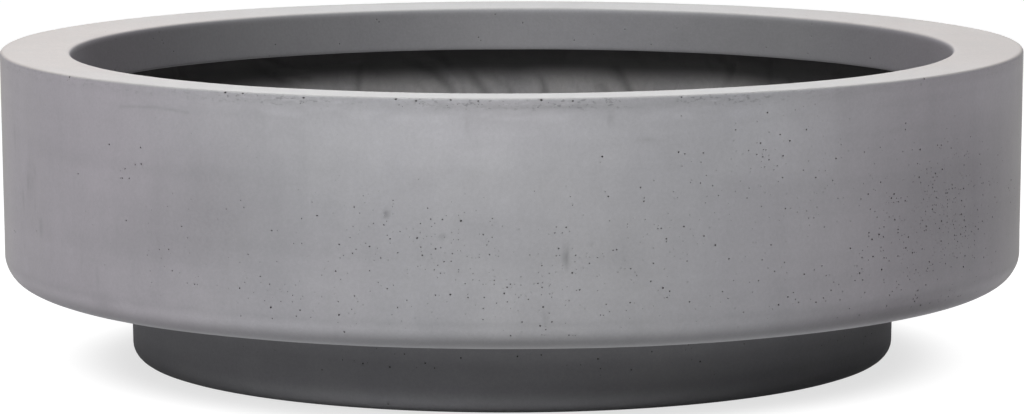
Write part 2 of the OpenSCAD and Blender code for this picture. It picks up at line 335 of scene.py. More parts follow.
class Turned:
    """A turned mesh as a grid of rows and columns, in which blocks of cells can be opened and refilled."""

    def __init__(self, rows, columns, closed):
        self.rows = rows
        self.columns = columns
        self.radius = rows[:, 0][:, None]
        self.height = rows[:, 1][:, None]
        self.turn = 2 * math.pi * np.arange(columns) / columns
        self.azimuth = apart(np.degrees(self.turn), 0)[None, :]
        after = np.roll(rows, -1, axis=0)
        before = np.roll(rows, 1, axis=0)
        if not closed:
            after[-1] = rows[-1]
            before[0] = rows[0]
        along = unit_rows(unit_rows(after - rows) + unit_rows(rows - before))
        self.outward = along[:, 1][:, None]
        self.upward = -along[:, 0][:, None]
        self.points = self.swept(self.radius, self.height)
        self.normals = self.swept(self.outward, self.upward)
        for mark, plain in MARKS.items():
            setattr(self, mark, np.full((len(rows), columns), plain))
        self.whole = np.ones((len(rows) if closed else len(rows) - 1, columns), bool)
        self.extra_points, self.extra_marks = [], []
        self.extra_faces, self.extra_dark = [], []

    def noise(self, size, seed, layers, strength):
        return layered_noise(self.points, size, seed, layers, strength)

    def swept(self, out, up):
        """A column of values out and up, swept round the axis."""
        around = np.broadcast_to(up, (len(out), self.columns))
        return np.stack([out * np.sin(self.turn), -out * np.cos(self.turn), around], axis=-1)

    def sink(self, depth):
        """Moves each point into the solid by its depth, or out of it where the depth is negative."""
        self.points = self.points - self.normals * depth[..., None]

    def at(self, row, column):
        """Point and normal at a fractional row and column."""
        i, j = math.floor(row), math.floor(column)
        a, b = row - i, column - j
        point = normal = 0.0
        for dj, column_share in ((0, 1 - b), (1, b)):
            for di, row_share in ((0, 1 - a), (1, a)):
                place = (i + di) % len(self.rows), (j + dj) % self.columns
                point = point + row_share * column_share * self.points[place]
                normal = normal + row_share * column_share * self.normals[place]
        return point, normal / np.linalg.norm(normal)

    def marks_at(self, row, column):
        place = round(row) % len(self.rows), round(column) % self.columns
        return np.array([getattr(self, mark)[place] for mark in MARKS])

    def open_block(self, row, column, high, wide):
        """Takes out a block of cells and returns the loop round it, or None where a cell is gone."""
        rows = [(row + k) % len(self.rows) for k in range(high)]
        columns = [(column + k) % self.columns for k in range(wide)]
        cells = np.ix_(rows, columns)
        if not self.whole[cells].all():
            return None
        self.whole[cells] = False
        return ([(row, column + k) for k in range(wide)]
                + [(row + k, column + wide) for k in range(high)]
                + [(row + high, column + wide - k) for k in range(wide)]
                + [(row + high - k, column) for k in range(high)])

    def add_ring(self, points, marks):
        start = len(self.rows) * self.columns + len(self.extra_points)
        self.extra_points.extend(points)
        self.extra_marks.extend([marks] * len(points))
        return list(range(start, start + len(points)))

    def add_faces(self, faces, dark):
        self.extra_faces.extend(faces)
        self.extra_dark.extend([dark] * len(faces))

    def stitch(self, loop, loop_angles, ring, ring_angles):
        """Triangles between a block's loop and a ring inside it, matched by their angles."""
        loop = [row % len(self.rows) * self.columns + column % self.columns for row, column in loop]
        if unwound(loop_angles)[-1] < 0:
            loop, loop_angles = loop[::-1], loop_angles[::-1]
        shift = int(np.argmin([abs(wrapped(a - loop_angles[0])) for a in ring_angles]))
        ring = ring[shift:] + ring[:shift]
        ring_angles = ring_angles[shift:] + ring_angles[:shift]
        outer = unwound(loop_angles)
        base = wrapped(ring_angles[0] - loop_angles[0])
        inner = [base + a for a in unwound(ring_angles)]
        faces = []
        i = j = 0
        for _ in range(len(loop) + len(ring)):
            next_outer = outer[i + 1] if i < len(loop) else math.inf
            next_inner = inner[j + 1] if j < len(ring) else math.inf
            a, b = loop[i % len(loop)], ring[j % len(ring)]
            if next_outer <= next_inner:
                faces.append((a, loop[(i + 1) % len(loop)], b))
                i += 1
            else:
                faces.append((a, ring[(j + 1) % len(ring)], b))
                j += 1
        self.add_faces(faces, False)

    def bridge(self, first, second, dark):
        self.add_faces([(first[k - 1], first[k], second[k], second[k - 1]) for k in range(len(first))], dark)

    def cap(self, ring, middle, dark):
        self.add_faces([(ring[k - 1], ring[k], middle) for k in range(len(ring))], dark)

    def build(self, name, materials):
        """Makes the Blender mesh object."""
        count = len(self.rows)
        points = np.concatenate([self.points.reshape(-1, 3), np.array(self.extra_points).reshape(-1, 3)])
        marks = np.stack([getattr(self, mark) for mark in MARKS], axis=-1).reshape(-1, len(MARKS))
        marks = np.concatenate([marks, np.array(self.extra_marks, float).reshape(-1, len(MARKS))])
        rows, columns = np.nonzero(self.whole)
        corners = [(rows + i) % count * self.columns + (columns + j) % self.columns
                   for i, j in ((0, 0), (0, 1), (1, 1), (1, 0))]
        faces = np.stack(corners, axis=1).tolist()
        dark = [False] * len(faces) + self.extra_dark
        faces += [list(f) for f in self.extra_faces]
        faces, dark, used = merge_poles(self, faces, dark, len(points))
        mesh = bpy.data.meshes.new(name)
        mesh.from_pydata((points[used] * MM).tolist(), [], faces)
        for material in materials:
            mesh.materials.append(material)
        mesh.polygons.foreach_set("use_smooth", [not d for d in dark])
        if len(materials) > 1:
            mesh.polygons.foreach_set("material_index", [int(d) for d in dark])
        for mark, values in zip(MARKS, marks[used].T):
            attribute = mesh.attributes.new(mark, "FLOAT", "POINT")
            attribute.data.foreach_set("value", values)
        mesh.update()
        even_normals(mesh)
        return new_object(name, mesh)


def new_object(name, data):
    thing = bpy.data.objects.new(name, data)
    bpy.context.scene.collection.objects.link(thing)
    return thing


def even_normals(mesh):
    """Turns every face outwards."""
    shell = bmesh.new()
    shell.from_mesh(mesh)
    bmesh.ops.recalc_face_normals(shell, faces=shell.faces)
    shell.to_mesh(mesh)
    shell.free()


def merge_poles(grid, faces, dark, count):
    """Turns a row at the axis into one point, and says which points the faces still use."""
    target = np.arange(count)
    for row in np.flatnonzero(grid.radius == 0):
        target[row * grid.columns:(row + 1) * grid.columns] = row * grid.columns
    new_faces = []
    new_dark = []
    for face, is_dark in zip(faces, dark):
        corners = list(dict.fromkeys(int(target[v]) for v in face))
        if len(corners) > 2:
            new_faces.append(corners)
            new_dark.append(is_dark)
    used = np.zeros(count, bool)
    for face in new_faces:
        used[face] = True
    place = np.cumsum(used) - 1
    new_faces = [[int(place[v]) for v in face] for face in new_faces]
    return new_faces, new_dark, used


# Pits: how much of its block one may fill, how far its edge reaches at most, and how unevenly
PIT_ROOM = 0.46
PIT_REACH = 1.4
PIT_WANDER = (0.8, 1.2)
# Rings of a pit: reach as a share of its radius, drop as shares of its radius and depth, and lightness,
# which is painted shade inside the pit
PIT_RINGS = [(1.15, 0.0, 0.0, 1.0), (1.0, 0.16, 0.0, 0.9), (0.8, 0.0, 0.7, 0.55)]
PIT_BOTTOM_PAINTED_SHADE = 0.5
# Keeps a place just inside the block's far edge
EDGE_SLIP = 1e-6


def add_pit(grid, row, column, span, radius, deep, draw, wide=1.0, sides=8):
    """A pit with an uneven lip somewhere in a block of span by span cells, as deep as deep radii, its inside
    in painted shade.
    """
    depth = deep * radius
    first_row, first_column = math.floor(row - span / 2 + 0.5), math.floor(column - span / 2 + 0.5)
    loop = grid.open_block(first_row, first_column, span, span)
    if loop is None:
        return
    middle_row, middle_column = first_row + span / 2, first_column + span / 2
    low_edge, _ = grid.at(first_row, middle_column)
    high_edge, _ = grid.at(first_row + span - EDGE_SLIP, middle_column)
    left_edge, _ = grid.at(middle_row, first_column)
    right_edge, _ = grid.at(middle_row, first_column + span - EDGE_SLIP)
    row_step = np.linalg.norm(high_edge - low_edge) / span
    column_step = np.linalg.norm(right_edge - left_edge) / span
    room = PIT_ROOM * span * min(row_step, column_step)
    reach = PIT_REACH * max(wide, 1)
    radius = min(radius, room / reach)
    slack = room - reach * radius
    middle_row += slack * draw.uniform(-1, 1) / row_step
    middle_column += slack * draw.uniform(-1, 1) / column_step
    middle, inward = grid.at(middle_row, middle_column)
    angles = [2 * math.pi * k / sides for k in range(sides)]
    marks = grid.marks_at(row, column)
    uneven = [draw.uniform(*PIT_WANDER) for _ in angles]
    rings = []
    for scale, of_radius, of_depth, light in PIT_RINGS:
        down = of_radius * radius + of_depth * depth
        points = []
        for angle, share in zip(angles, uneven):
            away = radius * scale * share
            point, _ = grid.at(middle_row + away * math.sin(angle) / row_step,
                               middle_column + away * wide * math.cos(angle) / column_step)
            points.append(point - inward * down)
        rings.append(grid.add_ring(points, marks * (light, 1, 1)))
    outer, lip, wall = rings
    bottom = grid.add_ring([middle - inward * depth], marks * (PIT_BOTTOM_PAINTED_SHADE, 1, 1))[0]
    loop_angles = [math.atan2((r - middle_row) * row_step, (c - middle_column) * column_step)
                   for r, c in loop]
    grid.stitch(loop, loop_angles, outer, angles)
    grid.bridge(outer, lip, False)
    grid.bridge(lip, wall, True)
    grid.cap(wall, bottom, True)


def pit_radius(draw, least, extra, rarity=1):
    """A random radius from least upwards. The higher the rarity, the scarcer large ones are."""
    return least + extra * draw.random() ** rarity


# Turns from the front at which the drains stand, and the angles of the points round a hole
DRAIN_TURNS = [2 * math.pi * (i + 0.5) / DRAIN_COUNT for i in range(DRAIN_COUNT)]
HOLE_ANGLES = [2 * math.pi * k / HOLE_SIDES for k in range(HOLE_SIDES)]
# Rows this near a height count as level with it
LEVEL_SLACK = 0.01


def drain_centre(turn):
    return np.array([DRAIN_RING_R * math.sin(turn), -DRAIN_RING_R * math.cos(turn)])


def drill(grid, turn, level, radius):
    """Opens a round hole for the drain at that turn, in the rows at that height, and gives its ring."""
    margin = radius + 2.5 * FINE
    inside = rows_where((abs(grid.height - level) < LEVEL_SLACK)
                        & (abs(grid.radius - DRAIN_RING_R) < margin))
    half_turn = math.asin(margin / DRAIN_RING_R)
    first_column = math.floor((turn - half_turn) / (2 * math.pi) * grid.columns)
    wide = math.ceil(2 * half_turn / (2 * math.pi) * grid.columns)
    loop = grid.open_block(min(inside), first_column, len(inside) - 1, wide)
    centre = drain_centre(turn)
    loop_points = [grid.points[r % len(grid.rows), c % grid.columns] for r, c in loop]
    loop_angles = [math.atan2(p[1] - centre[1], p[0] - centre[0]) for p in loop_points]
    height = float(np.mean([p[2] for p in loop_points]))
    ring = round_ring(grid, turn, height, radius)
    grid.stitch(loop, loop_angles, ring, HOLE_ANGLES)
    return ring


def round_ring(grid, turn, height, radius):
    """A ring of points round the drain at that turn."""
    x, y = drain_centre(turn)
    points = [np.array([x + radius * math.cos(a), y + radius * math.sin(a), height]) for a in HOLE_ANGLES]
    return grid.add_ring(points, (1, 0, 0))


def cut_drains(grid, steps):
    """Cuts each drain's stepped hole. Steps are (height, radius), the first and last in level rows."""
    for turn in DRAIN_TURNS:
        rings = [drill(grid, turn, *steps[0])]
        rings += [round_ring(grid, turn, *step) for step in steps[1:-1]]
        rings.append(drill(grid, turn, *steps[-1]))
        for above, below in zip(rings, rings[1:]):
            grid.bridge(above, below, False)


def rows_where(chosen):
    return np.flatnonzero(chosen).tolist()


# Places that carry pits, as the photo shows them: (azimuth, height, spread in degrees and in height, count)
PIT_CLUSTERS = [
    (-29, 131, 5, 12, 22), (-22, 133, 5, 13, 26), (-18, 112, 6, 8, 26), (-12, 200, 5, 20, 26),
    (-7, 172, 4, 20, 64), (-3, 136, 5, 17, 52), (4, 134, 5, 22, 76), (8, 184, 6, 24, 48),
    (15, 138, 7, 22, 30), (20, 176, 5, 22, 44), (20, 236, 6, 26, 34), (28, 256, 5, 18, 48),
    (36, 214, 6, 24, 56), (46, 176, 6, 34, 170), (54, 178, 4, 42, 210), (43, 128, 9, 16, 66),
    (-44, 226, 5, 26, 14), (-36, 156, 7, 24, 26), (60, 170, 6, 50, 60), (26, 115, 7, 10, 22),
    (-16, 184, 7, 20, 40)]
# Clusters round the back, and the ranges that each is drawn from, in the same order
BACK_CLUSTER_COUNT = 22
BACK_CLUSTER = [(75, 290), (110, 270), (3, 8), (10, 28)]
BACK_PIT_COUNT = (12, 60)
# Pits of a cluster: least radius, extra radius and rarity, and how much larger they are at the sides
CLUSTER_PIT = (0.24, 0.44, 2.4)
SIDE_PIT_GAIN = 0.35
SIDE_PITS = (32, 46)
# Large pits: (azimuth, height, radius)
LARGE_PITS = [
    (-42.2, 248, 0.8), (-42.1, 232, 0.8), (-5.2, 199, 0.9), (-9.6, 181, 0.8), (-7.8, 171, 0.8),
    (-18.4, 150, 0.8), (-29.4, 131, 0.8), (-25.8, 115, 0.9), (-6.4, 135, 0.8), (-0.7, 134, 0.8),
    (-18.0, 111, 0.9), (-17.5, 98, 0.8), (3.1, 123, 0.8), (2.7, 106, 0.8), (15.3, 133, 0.8),
    (9.0, 257, 0.8), (17.3, 255, 0.8), (26.4, 262, 0.8), (29.9, 259, 0.8), (29.0, 245, 0.8),
    (33.0, 226, 0.8), (20.1, 178, 0.8), (21.1, 172, 0.8), (26.9, 288, 0.8)]
# Chips just under the rim's outer edge: (azimuth, radius)
RIM_CHIPS = [
    (-31.1, 1.5), (-55.0, 0.9), (-28.8, 0.7), (-21.9, 1.1), (-11.9, 1.2), (-9.7, 1.0), (-6.2, 1.0),
    (-3.4, 0.6), (-3.9, 0.7), (2.9, 1.4), (6.1, 0.6), (17.1, 0.6), (48.8, 1.0), (96, 1.2), (171, 1.4),
    (212, 1.0), (248, 1.2)]
RIM_CHIP_Z = 305.0
# Small pits of the rim's top, the lip's face and the plinth: count, and radius as for a cluster
RIM_PITS = (70, (0.25, 0.3))
LIP_PITS = (60, (0.3, 0.4))
SMALL_PLINTH_PITS = (120, (0.3, 0.4, 2))
PLINTH_PIT_R = 0.75
PLINTH_PITS = [
    (-12.4, 50), (-17.3, 48), (-21.6, 47), (-6.9, 57), (-17.6, 12), (16.7, 44), (12.0, 52),
    (27.7, 45), (0.8, 56), (64, 40), (140, 52), (188, 33), (251, 58)]
# Smudges: (azimuth, height, half width, half height, how much darker)
SMUDGES = [
    (-12.9, 203.5, 2.6, 3.4, 0.44), (-7.2, 184, 3.2, 2.6, 0.26), (5.5, 166, 2.6, 10, 0.32),
    (3.3, 112, 2.8, 7, 0.16), (14.0, 268, 9, 2.4, 0.14), (10.0, 288, 3, 7, 0.16),
    (-4.5, 282, 2.6, 11, 0.12), (-1.5, 288, 26, 5, 0.10), (-65, 205, 14, 22, 0.10),
    (-71, 236, 2.4, 14, 0.12), (-66, 196, 2.2, 12, 0.12), (-64, 176, 2.2, 9, 0.10),
    (-50, 122, 2.2, 10, 0.10), (-53, 135, 2.2, 7, 0.08), (-49, 98, 16, 8, 0.12),
    (-41, 118, 10, 3, 0.05), (36, 296, 30, 5, 0.08), (8, 176, 2, 2.4, 0.16), (-20, 240, 16, 3, 0.05),
    (24, 226, 20, 3, 0.05), (42, 262, 60, 3, 0.05), (118, 210, 22, 30, 0.08), (200, 150, 30, 20, 0.07),
    (262, 240, 18, 26, 0.08)]
# Hairlines under the rim, as (azimuth, height) along each, and their half height and strength
HAIRLINES = [[(-45.5, 284.0), (-42.5, 286.0), (-39.5, 287.0), (-37.0, 285.6), (-35.4, 284.0)],
             [(-4.4, 301.5), (-2.1, 298.8), (2.5, 298.1), (7.7, 298.8)]]
HAIRLINE_HALF = 1.3
HAIRLINE_DROP = 0.10
# Broad washes, mostly painted light and shade: (azimuth, height, half width, half height, how much lighter)
LIGHT_AND_SHADE_WASHES = [
    (-7, 270, 100, 38, 0.17), (29, 270, 70, 38, 0.14), (-33, 190, 115, 75, -0.19),
    (62, 282, 60, 20, 0.10), (-2, 118, 120, 18, 0.04), (58, 185, 150, 80, -0.26),
    (-98, 190, 220, 160, 0.12), (-56, 235, 110, 60, -0.08), (10, 275, 80, 30, 0.05),
    (-49, 150, 60, 35, -0.07), (11, 158, 45, 35, -0.06), (130, 230, 90, 50, 0.09),
    (205, 190, 110, 40, -0.07), (255, 250, 80, 40, 0.08)]
# The same on the rounding of the lower edge: painted shade on the right and painted light on the left
EDGE_LIGHT_AND_SHADE_WASHES = [(45, 96, 130, 9, -0.36), (-38, 90, 240, 11, 0.17)]
# Painted light and shade on the lip's face: (azimuth, spread in degrees, how much lighter), and its painted
# shade between them
LIP_PAINTED_SHADES = [(250, 38, -0.34), (118, 30, -0.07), (173, 18, 0.18)]
LIP_PAINTED_SHADE = 0.86

# Where marks fade in and out round the bowl, for `window`. Pairs with positive azimuths hold on both sides
STAINED = ((-34, -24), (32, 20))
WORN = ((-36, -24), (34, 20))
DRIPPED = ((-120, -100), (-56, -64))
ROSY = ((16, 56), (150, 110))
DUN = ((58, 92), (140, 100))
BLUSHING = ((25, 75), (165, 110))
# The same for heights
DRIP_HEIGHTS = ((120, 150), (268, 244))
WORN_HEIGHTS = (293, 300)
# Where a face counts as a side or as a top, from the outward or upward part of its normal
SIDE_FACING = (0.2, 0.8)
TOP_FACING = (0.5, 0.9)

# Uneven relief and tones, for `noise`: size in millimetres, seed, layers and strength
DRUM_SWELL = (120, 11, 2, 0.5)
DRUM_RIPPLE = ((60, 60, 22), 23, 2, 0.5)
DRUM_CLOUDS = ((200, 200, 130), 31, 3, 0.05)
DRUM_BANDS = ((300, 300, 11), 41, 2, 0.05)
DRUM_STREAKS = ((16, 16, 170), 51, 2, 0.035)
DRUM_PATCHES = ((34, 34, 9), 61, 3, 0.5)
DRIP_PATCHES = ((11, 11, 26), 57, 2, 1.0)
WEAR_PATCHES = ((60, 60, 14), 61, 2, 0.5)
ROSY_CLOUDS = (150, 67, 2, 0.4)
PLINTH_SWELL = (110, 13, 2, 0.5)
PLINTH_CLOUDS = ((160, 160, 60), 37, 3, 0.04)
PLINTH_BANDS = ((300, 300, 9), 47, 2, 0.04)
LINING_EDGE = ((60, 60, 200), 83, 2, 3.0)
LINING_PATCHES = ((70, 70, 50), 81, 3, 0.16)
FLOOR_PATCHES = ((80, 80, 40), 95, 3, 0.12)
# How far the castings' swell and ripple go in at most
DRUM_SWELL_H = 0.55
DRUM_RIPPLE_H = 0.22
PLINTH_SWELL_H = 0.5
# How far the wall's points are shifted along it, in patches of which size, with which seeds
STIR = 1.5
STIR_PATCH = 13
STIR_SEEDS = (101, 102)


def wall_place(grid, azimuth, height, rows):
    """Row and column of a spot on the outer wall."""
    row = rows[int(np.argmin(abs(grid.rows[rows, 1] - height)))]
    return row, round(azimuth / 360 * grid.columns)


def make_drum(materials):
    grid = Turned(profile_rows(drum_profile(), True), DRUM_COLUMNS, True)
    wall = rows_where((grid.outward > 0.8) & (grid.radius > BOWL_R - 2 * DRUM_EDGE_R)
                      & (grid.height > DRUM_Z + 4) & (grid.height < RIM_Z))
    swell = 0.5 + grid.noise(*DRUM_SWELL)
    ripple = 0.5 + grid.noise(*DRUM_RIPPLE)
    grid.sink(SKIN_INSET + DRUM_SWELL_H * swell + DRUM_RIPPLE_H * ripple)
    stir(grid, wall)
    grid.tone = drum_tone(grid)
    grid.wear = drum_wear(grid)
    grid.tint = drum_tint(grid)
    draw = random.Random(4)
    for azimuth, height, radius in LARGE_PITS:
        add_pit(grid, *wall_place(grid, azimuth, height, wall), 2, radius, 2.2, draw)
    chip_rim(grid, wall, draw)
    pit_wall(grid, wall, draw)
    rim = rows_where((grid.upward > 0.9) & (grid.height > LIP_Z))
    lip = rows_where((grid.outward < -0.9) & (grid.radius < MOUTH_R + 1))
    for rows, (count, sizes), deep in ((rim, RIM_PITS, 1.0), (lip, LIP_PITS, 1.6)):
        for _ in range(count):
            radius = pit_radius(draw, *sizes)
            add_pit(grid, draw.choice(rows), draw.randrange(grid.columns), 1, radius, deep, draw)
    place(grid.build("drum_casting", materials), "bowl", "cast_cement", "drum_shell")


def chip_rim(grid, wall, draw):
    """Chips under the rim's edge, each with two crumbs below it."""
    for azimuth, radius in RIM_CHIPS:
        row, column = wall_place(grid, azimuth, RIM_CHIP_Z - draw.uniform(0, 1.2), wall)
        add_pit(grid, row, column, 3, radius, 1.2, draw, draw.uniform(0.7, 2.0), 12)
        for _ in range(2):
            height = RIM_CHIP_Z - draw.uniform(3, 7)
            row, column = wall_place(grid, azimuth + draw.uniform(-0.7, 0.7), height, wall)
            add_pit(grid, row, column, 1, 0.4 * radius, 1.5, draw, draw.uniform(0.8, 1.8))


def pit_wall(grid, wall, draw):
    """Clusters of pits on the outer wall."""
    clusters = list(PIT_CLUSTERS)
    for _ in range(BACK_CLUSTER_COUNT):
        place_and_spread = [draw.uniform(*limits) for limits in BACK_CLUSTER]
        clusters.append((*place_and_spread, draw.randint(*BACK_PIT_COUNT)))
    for azimuth, height, spread, tall, count in clusters:
        gain = 1 + SIDE_PIT_GAIN * ramp(abs(azimuth), *SIDE_PITS)
        for _ in range(count):
            z = min(max(draw.gauss(height, tall), DRUM_Z + 14), RIM_Z - 8)
            row, column = wall_place(grid, draw.gauss(azimuth, spread), z, wall)
            radius = pit_radius(draw, *CLUSTER_PIT) * gain
            add_pit(grid, row, column, 1, radius, 1.8, draw, draw.uniform(0.7, 1.3))


def stir(grid, rows):
    """Shifts the wall's points along it, so that pits set by its rows and columns don't line up."""
    height = grid.height[rows]
    calm = window(height, (height.min(), height.min() + 12), (WORN_Z, WORN_Z - 8))
    points = grid.points[rows]
    up, aside = (STIR * calm * smooth_noise(points, STIR_PATCH, seed) for seed in STIR_SEEDS)
    turn = aside / BOWL_R
    out = up * DRUM_DRAFT
    x, y, z = points[..., 0], points[..., 1], points[..., 2]
    new_x = x * np.cos(turn) - y * np.sin(turn) + out * np.sin(grid.turn)
    new_y = x * np.sin(turn) + y * np.cos(turn) - out * np.cos(grid.turn)
    grid.points[rows] = np.stack([new_x, new_y, z + up], axis=-1)


def drum_wear(grid):
    """Wear of the strip under the rim."""
    outer = ramp(grid.outward, *SIDE_FACING) * (grid.radius > MOUTH_R + LIP_T)
    patchy = 0.5 + grid.noise(*WEAR_PATCHES)
    strip = ramp(grid.height, *WORN_HEIGHTS) * (0.35 + 0.65 * window(grid.azimuth, *WORN))
    return outer * strip * ramp(patchy, 0.2, 0.5)


def drum_tint(grid):
    """The cement's cast: rosy towards the sides and in clouds, dun at the far sides, blushing on top."""
    off_front = abs(grid.azimuth)
    outer = ramp(grid.outward, *SIDE_FACING) * (grid.radius > MOUTH_R + LIP_T)
    clouds = grid.noise(*ROSY_CLOUDS)
    wall = outer * np.clip(window(off_front, *ROSY) + clouds, 0, 1) + window(off_front, *DUN)
    on_top = ramp(grid.upward, *TOP_FACING)
    return np.where(on_top > 0.5, window(off_front, *BLUSHING), wall)


def drum_tone(grid):
    """Lightness of the casting: clouds, the outer wall's marks with their painted light and shade, painted
    shade on the lip's face, and painted light on the rim's top, lighter on the left.
    """
    outer = ramp(grid.outward, *SIDE_FACING) * (grid.radius > BOWL_R - 2 * DRUM_EDGE_R)
    patchy = 0.5 + grid.noise(*DRUM_PATCHES)
    tone = 1 + grid.noise(*DRUM_CLOUDS) + outer * (wall_bands(grid, patchy) + wall_marks(grid, patchy))
    # The lip's face gets painted shade, lighter and darker round the bowl
    lip = (grid.outward < -0.5) & (grid.radius < MOUTH_R + 2)
    lip_painted_shade = LIP_PAINTED_SHADE
    for centre, spread, gain in LIP_PAINTED_SHADES:
        lip_painted_shade = lip_painted_shade + gain * hump(apart(grid.azimuth, centre), 0, spread)
    tone = np.where(lip, tone * lip_painted_shade, tone)
    # Painted light on the rim's top: lighter on the left, darker on the right
    on_top = ramp(grid.upward, *TOP_FACING)
    return tone * (1 + on_top * (0.03 - 0.06 * np.sin(np.radians(grid.azimuth))))


def wall_bands(grid, patchy):
    """How much lighter level bands, upright streaks and the strip under the rim are, with painted shade on
    the lower edge and in a line above it.
    """
    height = grid.height
    stained = window(grid.azimuth, *STAINED)
    in_front = 0.6 + 0.4 * ramp(abs(grid.azimuth), 78, 48)
    stain = hump(height, 299.5, 4.2) * (0.05 + 0.10 * stained * ramp(patchy, 0.4, 0.7))
    pale_strip = hump(height, 290, 5.0) * 0.10 * stained * ramp(patchy, 0.6, 0.3)
    # Painted shade in a line above the rounded foot and on the rounding itself, most in front
    painted_shade_above_foot = 0.07 * hump(height, FOOT_Z - 4, 4.0) * (0.6 + patchy)
    painted_foot_shade = 0.58 * in_front * ramp(height, FOOT_Z - 7, DRUM_Z + 3)
    uneven = grid.noise(*DRUM_BANDS) + grid.noise(*DRUM_STREAKS)
    return uneven - stain + pale_strip - painted_shade_above_foot - painted_foot_shade


def wall_marks(grid, patchy):
    """How much lighter smudges, drips, hairlines and washes of painted light and shade make the outer wall.
    """
    gain = 0.0
    for *spot, drop in SMUDGES:
        gain = gain - drop * wall_spot(grid, *spot) * (0.4 + 1.2 * patchy)
    drips = ramp(grid.noise(*DRIP_PATCHES), 0.3, 0.65)
    gain = gain - 0.12 * drips * window(grid.azimuth, *DRIPPED) * window(grid.height, *DRIP_HEIGHTS)
    for line in HAIRLINES:
        azimuths, heights = zip(*line)
        level = np.interp(grid.azimuth, azimuths, heights, np.nan, np.nan)
        gain = gain - HAIRLINE_DROP * np.nan_to_num(hump(grid.height, level, HAIRLINE_HALF))
    for *spot, painted_wash in LIGHT_AND_SHADE_WASHES + EDGE_LIGHT_AND_SHADE_WASHES:
        gain = gain + painted_wash * wall_spot(grid, *spot)
    return gain


def wall_spot(grid, centre, level, half_width, half_height):
    """A soft oval on the wall, 1 in its middle."""
    across = np.radians(apart(grid.azimuth, centre)) * BOWL_R
    return hump(across, 0, half_width) * hump(grid.height, level, half_height)


def make_plinth(materials):
    grid = Turned(profile_rows(plinth_profile(), False), PLINTH_COLUMNS, False)
    wall = rows_where((grid.outward > 0.8) & (grid.height > PAN_Z + 2) & (grid.height < DRUM_Z - 4))
    on_wall = ramp(grid.outward, 0.3, 0.9) * (grid.height < DRUM_Z)
    swell = 0.5 + grid.noise(*PLINTH_SWELL)
    grid.sink(SKIN_INSET + PLINTH_SWELL_H * swell * on_wall)
    grid.tone = plinth_tone(grid, on_wall)
    draw = random.Random(9)
    for azimuth, height in PLINTH_PITS:
        add_pit(grid, *wall_place(grid, azimuth, height, wall), 2, PLINTH_PIT_R, 2.0, draw)
    count, sizes = SMALL_PLINTH_PITS
    for _ in range(count):
        radius = pit_radius(draw, *sizes)
        row, column = wall_place(grid, draw.uniform(0, 360), draw.gauss(50, 12), wall)
        add_pit(grid, row, column, 1, radius, 1.8, draw)
    cut_drains(grid, [(PAN_Z, HOLE_R), (PAN_FLOOR_Z, HOLE_R)])
    place(grid.build("plinth_casting", materials), "bowl", "cast_cement", "plinth_pan")


def plinth_tone(grid, on_wall):
    """Lightness of the plinth, painted light and shade: dark, lighter in the middle, darkest on the right,
    lighter near the top, and pale at the foot in front.
    """
    azimuth = grid.azimuth
    # Painted light in front and near the top, painted shade on the right and all round, painted light at the
    # foot
    middle = 0.14 * hump(azimuth, 0, 26)
    right = 0.24 * window(azimuth, (18, 68), (150, 95))
    painted_upper_light = 0.11 * ramp(grid.height, 44, 64)
    foot = ramp(grid.height, 27, 5) * (1.05 * ramp(abs(azimuth), 75, 15) - 0.15)
    tone = (0.57 + grid.noise(*PLINTH_CLOUDS)) * (1 + middle) * (1 - right)
    tone = tone + on_wall * grid.noise(*PLINTH_BANDS)
    return tone * (1 + on_wall * painted_upper_light) * (1 + on_wall * foot)


# Folds of the hand-laid mat: reach, width, depth and painted trough shade of the least, and what the largest
# adds
FOLD_SIZES = [(20, 26), (2.6, 2.4), (0.7, 1.7), (0.35, 0.65)]
# Their lean in degrees, with its spread, how far they bend, and the ridge beside each trough
FOLD_LEAN = (-30, 24)
FOLD_BEND = 0.7
RIDGE_ASIDE = 1.9
RIDGE_HALF = 1.3
RIDGE_H = 0.55
# Unevenness of the mat: size, what is added to the mat's seed, layers and height
MAT_BUMPS = [(46, 1, 2, 1.7), (17, 3, 1, 0.6), (9, 5, 2, 0.22)]
MAT_LIMITS = (-4.2, 3)
# The two mats: count of folds and seed
LINING_FOLDS = (480, 71)
FLOOR_FOLDS = (150, 91)


def wrinkles(grid, shown, count, seed):
    """Height and painted shade of the short slanting folds of a hand-laid mat, each a trough by a ridge, the
    shade in the trough.
    """
    draw = random.Random(seed)
    height = np.zeros(grid.tone.shape)
    crease_shade = np.zeros(grid.tone.shape)
    rows = np.flatnonzero(shown)
    for row in draw.choices(rows.tolist(), weights=grid.rows[rows, 0].tolist(), k=count):
        column = draw.randrange(grid.columns)
        size = draw.random() ** 2
        reach, width, depth, dark = (least + extra * size for least, extra in FOLD_SIZES)
        lean = math.radians(draw.gauss(*FOLD_LEAN))
        bend = draw.uniform(-FOLD_BEND, FOLD_BEND) / reach
        sideways = np.array([math.cos(grid.turn[column]), math.sin(grid.turn[column]), 0.0])
        normal = grid.normals[row, column]
        along = np.cross(normal, sideways) * math.cos(lean) + sideways * math.sin(lean)
        across = np.cross(normal, along)
        near_rows = rows[np.linalg.norm(grid.rows[rows] - grid.rows[row], axis=1) < reach]
        step = 2 * math.pi * max(grid.rows[near_rows, 0].min(), reach) / grid.columns
        half = min(math.ceil(1.3 * reach / step), grid.columns // 2 - 1)
        block = np.ix_(near_rows, np.arange(column - half, column + half + 1) % grid.columns)
        away = grid.points[block] - grid.points[row, column]
        run = away @ along
        aside = (away @ across - bend * run ** 2) / width
        fade = ramp(abs(run), reach, 0.4 * reach)
        trough = hump(aside, 0, 1) * fade
        ridge = hump(aside, RIDGE_ASIDE, RIDGE_HALF) * fade
        height[block] += depth * (RIDGE_H * ridge - trough)
        crease_shade[block] = np.maximum(crease_shade[block], dark * trough)
    return height, crease_shade


